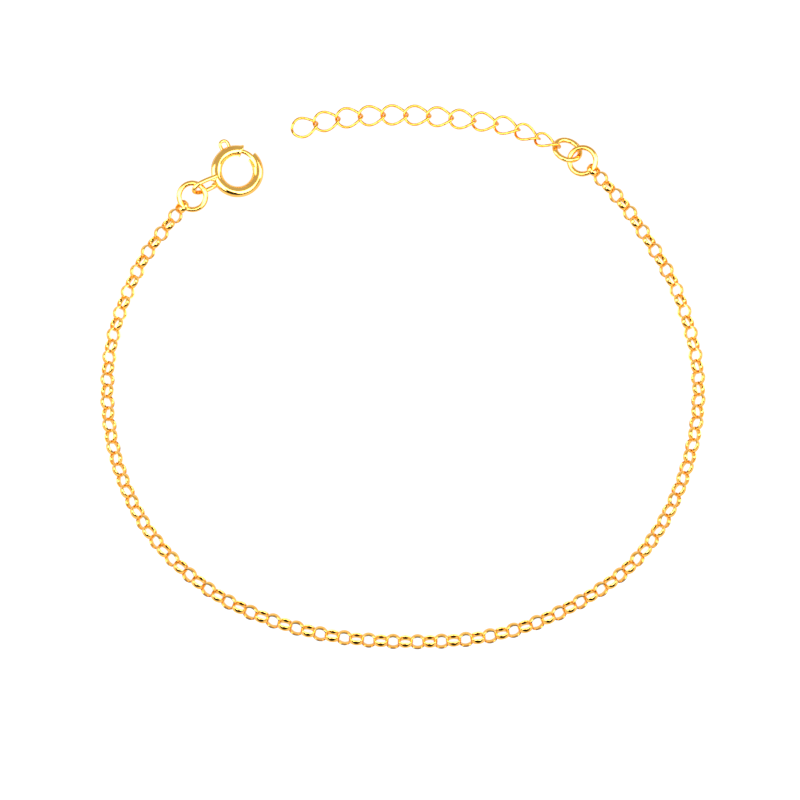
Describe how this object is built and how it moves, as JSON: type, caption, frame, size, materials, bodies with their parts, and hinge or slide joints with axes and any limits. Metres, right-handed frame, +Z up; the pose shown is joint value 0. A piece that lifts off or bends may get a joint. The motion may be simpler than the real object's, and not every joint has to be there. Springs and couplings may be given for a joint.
{
  "type": "chain bracelet",
  "caption": "Fine round-link chain bracelet lying open, with a spring ring clasp at one end and an extender of twisted oval links at the other, worn round a wrist.",
  "frame": {"origin": "middle of the bracelet's outline on the surface that it lies on", "axes": "+Z up from the surface, +X to the right across the loop's longest extent, +Y away towards the clasp and the extender"},
  "size_m": [0.067, 0.0634, 0.0025],
  "materials": {
    "chain_gold": "gold plated, highly polished",
    "ring_gold": "gold plated, highly polished",
    "extender_gold": "gold plated, polished",
    "clasp_gold": "gold plated, highly polished",
    "bolt_gold": "gold plated, polished"
  },
  "bodies": {
    "bracelet": {"chain_left": "chain_gold", "chain_right": "chain_gold", "jump_ring_clasp": "ring_gold", "clasp_ring": "clasp_gold", "jump_ring_chain": "ring_gold", "jump_ring_extender": "ring_gold", "extender_link_01": "extender_gold", "extender_link_02": "extender_gold", "extender_link_03": "extender_gold", "extender_link_04": "extender_gold", "extender_link_05": "extender_gold", "extender_link_06": "extender_gold", "extender_link_07": "extender_gold", "extender_link_08": "extender_gold", "extender_link_09": "extender_gold", "extender_link_10": "extender_gold", "extender_link_11": "extender_gold", "extender_link_12": "extender_gold"},
    "bolt": {"clasp_bolt": "bolt_gold"}
  },
  "joints": [
    {"name": "clasp_bolt_slide", "type": "hinge", "parent": "bracelet", "child": "bolt", "pos_m": [-0.01881, 0.02326, 0.00126], "axis": [0.1699, -0.2079, 0.9633], "range_deg": [0, 38], "stiffness_Nm_per_rad": 0.001, "springref_deg": -22.92}
  ]
}
